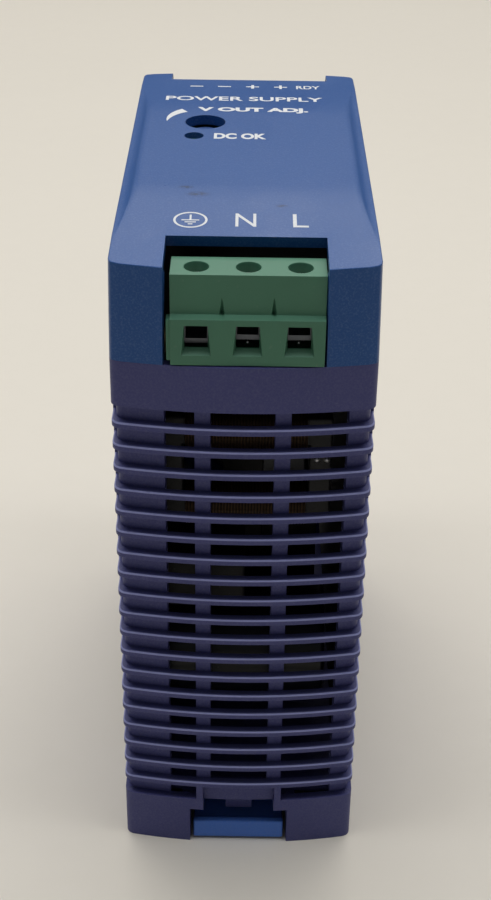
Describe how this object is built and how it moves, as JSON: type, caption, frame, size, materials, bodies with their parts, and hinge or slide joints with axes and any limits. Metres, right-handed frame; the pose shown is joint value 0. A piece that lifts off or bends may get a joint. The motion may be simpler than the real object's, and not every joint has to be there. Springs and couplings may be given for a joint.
{
  "type": "din rail power supply",
  "caption": "Narrow DIN rail power supply: louvred case, blue front cover with open terminal bays, screw terminals, trimmer, lamp and a spring rail clip.",
  "frame": {"origin": "centre of the footprint, on the plane that the unit stands on, which is the rail side of its feet", "axes": "+X along the rail, +Y towards the output terminals (the upper end when mounted), +Z out of the rail towards the front panel"},
  "size_m": [0.0406, 0.09, 0.115],
  "materials": {
    "case_grey": "fine spark-eroded texture, matt",
    "cover_blue": "fine spark-eroded texture, matt",
    "clip_blue": "satin moulded",
    "terminal_green": "satin moulded",
    "screw_steel": "zinc plated",
    "spring_steel": "drawn wire",
    "clamp_metal": "nickel plated",
    "board": "brown laminate",
    "black_plastic": "moulded epoxy",
    "trimmer_blue": "satin moulded",
    "lamp_lens": "clear tinted lens",
    "ferrite": "sintered ferrite",
    "copper": "enamelled copper wire",
    "glass_tube": "glass tube with end caps",
    "component_blue": "dipped epoxy",
    "yellow_case": "yellow insulating tape",
    "sleeve": "shrink sleeve",
    "aluminium": "mill finish"
  },
  "bodies": {
    "root": {"case_body": "case_grey", "front_cover": "cover_blue", "rail_clip_spring": "spring_steel", "input_terminal_housing": "terminal_green", "output_terminal_housing": "terminal_green", "input_contact_1": "clamp_metal", "input_contact_2": "clamp_metal", "input_contact_3": "clamp_metal", "output_contact_1": "clamp_metal", "output_contact_2": "clamp_metal", "output_contact_3": "clamp_metal", "output_contact_4": "clamp_metal", "output_contact_5": "clamp_metal", "main_board": "board", "terminal_board": "board", "board_link": "black_plastic", "bridge_rectifier": "black_plastic", "switch_transistor": "black_plastic", "control_chip": "black_plastic", "optocoupler": "black_plastic", "output_rectifier": "black_plastic", "trimmer_body": "trimmer_blue", "status_lamp": "lamp_lens", "lamp_sleeve": "black_plastic", "filter_choke_core": "ferrite", "transformer_core": "ferrite", "filter_choke_coil_lower": "copper", "filter_choke_coil_upper": "copper", "output_choke": "copper", "fuse": "glass_tube", "surge_varistor": "component_blue", "y_capacitor": "component_blue", "inrush_thermistor": "black_plastic", "x_capacitor": "black_plastic", "transformer_winding": "yellow_case", "bulk_capacitor": "sleeve", "output_capacitor_1": "sleeve", "output_capacitor_2": "sleeve", "primary_heatsink": "aluminium", "secondary_heatsink": "aluminium"},
    "rail_clip": {"rail_clip": "clip_blue"},
    "trimmer_rotor": {"trimmer_rotor": "trimmer_blue"},
    "input_screw_1": {"input_screw_1": "screw_steel"},
    "input_clamp_1": {"input_clamp_1": "clamp_metal"},
    "input_screw_2": {"input_screw_2": "screw_steel"},
    "input_clamp_2": {"input_clamp_2": "clamp_metal"},
    "input_screw_3": {"input_screw_3": "screw_steel"},
    "input_clamp_3": {"input_clamp_3": "clamp_metal"},
    "output_screw_1": {"output_screw_1": "screw_steel"},
    "output_clamp_1": {"output_clamp_1": "clamp_metal"},
    "output_screw_2": {"output_screw_2": "screw_steel"},
    "output_clamp_2": {"output_clamp_2": "clamp_metal"},
    "output_screw_3": {"output_screw_3": "screw_steel"},
    "output_clamp_3": {"output_clamp_3": "clamp_metal"},
    "output_screw_4": {"output_screw_4": "screw_steel"},
    "output_clamp_4": {"output_clamp_4": "clamp_metal"},
    "output_screw_5": {"output_screw_5": "screw_steel"},
    "output_clamp_5": {"output_clamp_5": "clamp_metal"}
  },
  "joints": [
    {"name": "rail_clip_slide", "type": "slide", "parent": "root", "child": "rail_clip", "axis": [0, -1, 0], "range_m": [0, 0.004], "stiffness_N_per_m": 900, "springref_m": -0.004, "deforming": ["rail_clip_spring"]},
    {"name": "trimmer_turn", "type": "hinge", "parent": "root", "child": "trimmer_rotor", "pos_m": [-0.00735, 0.0124, 0.1], "axis": [0, 0, -1], "range_deg": [-130, 130]},
    {"name": "input_screw_1_turn", "type": "hinge", "parent": "root", "child": "input_screw_1", "pos_m": [-0.00712, -0.0406, 0.109], "axis": [0, 0, -1], "range_deg": [-504, 1656]},
    {"name": "input_clamp_1_lift", "type": "slide", "parent": "root", "child": "input_clamp_1", "axis": [0, 0, 1], "range_m": [-0.0007, 0.0023]},
    {"name": "input_screw_2_turn", "type": "hinge", "parent": "root", "child": "input_screw_2", "pos_m": [0.0005, -0.0406, 0.109], "axis": [0, 0, -1], "range_deg": [-1008, 1152]},
    {"name": "input_clamp_2_lift", "type": "slide", "parent": "root", "child": "input_clamp_2", "axis": [0, 0, 1], "range_m": [-0.0014, 0.0016]},
    {"name": "input_screw_3_turn", "type": "hinge", "parent": "root", "child": "input_screw_3", "pos_m": [0.00812, -0.0406, 0.109], "axis": [0, 0, -1], "range_deg": [-1008, 1152]},
    {"name": "input_clamp_3_lift", "type": "slide", "parent": "root", "child": "input_clamp_3", "axis": [0, 0, 1], "range_m": [-0.0014, 0.0016]},
    {"name": "output_screw_1_turn", "type": "hinge", "parent": "root", "child": "output_screw_1", "pos_m": [-0.00936, 0.0412, 0.107], "axis": [0, 0, -1], "range_deg": [-432, 1368]},
    {"name": "output_clamp_1_lift", "type": "slide", "parent": "root", "child": "output_clamp_1", "axis": [0, 0, 1], "range_m": [-0.0006, 0.0019]},
    {"name": "output_screw_2_turn", "type": "hinge", "parent": "root", "child": "output_screw_2", "pos_m": [-0.00428, 0.0412, 0.107], "axis": [0, 0, -1], "range_deg": [-432, 1368]},
    {"name": "output_clamp_2_lift", "type": "slide", "parent": "root", "child": "output_clamp_2", "axis": [0, 0, 1], "range_m": [-0.0006, 0.0019]},
    {"name": "output_screw_3_turn", "type": "hinge", "parent": "root", "child": "output_screw_3", "pos_m": [0.0008, 0.0412, 0.107], "axis": [0, 0, -1], "range_deg": [-432, 1368]},
    {"name": "output_clamp_3_lift", "type": "slide", "parent": "root", "child": "output_clamp_3", "axis": [0, 0, 1], "range_m": [-0.0006, 0.0019]},
    {"name": "output_screw_4_turn", "type": "hinge", "parent": "root", "child": "output_screw_4", "pos_m": [0.00588, 0.0412, 0.107], "axis": [0, 0, -1], "range_deg": [-432, 1368]},
    {"name": "output_clamp_4_lift", "type": "slide", "parent": "root", "child": "output_clamp_4", "axis": [0, 0, 1], "range_m": [-0.0006, 0.0019]},
    {"name": "output_screw_5_turn", "type": "hinge", "parent": "root", "child": "output_screw_5", "pos_m": [0.01096, 0.0412, 0.107], "axis": [0, 0, -1], "range_deg": [-432, 1368]},
    {"name": "output_clamp_5_lift", "type": "slide", "parent": "root", "child": "output_clamp_5", "axis": [0, 0, 1], "range_m": [-0.0006, 0.0019]}
  ],
  "couplings": [
    {"joint": "input_screw_1_turn", "follows": "input_clamp_1_lift", "rad_per_m": 12566},
    {"joint": "input_screw_2_turn", "follows": "input_clamp_2_lift", "rad_per_m": 12566},
    {"joint": "input_screw_3_turn", "follows": "input_clamp_3_lift", "rad_per_m": 12566},
    {"joint": "output_screw_1_turn", "follows": "output_clamp_1_lift", "rad_per_m": 12566},
    {"joint": "output_screw_2_turn", "follows": "output_clamp_2_lift", "rad_per_m": 12566},
    {"joint": "output_screw_3_turn", "follows": "output_clamp_3_lift", "rad_per_m": 12566},
    {"joint": "output_screw_4_turn", "follows": "output_clamp_4_lift", "rad_per_m": 12566},
    {"joint": "output_screw_5_turn", "follows": "output_clamp_5_lift", "rad_per_m": 12566}
  ]
}
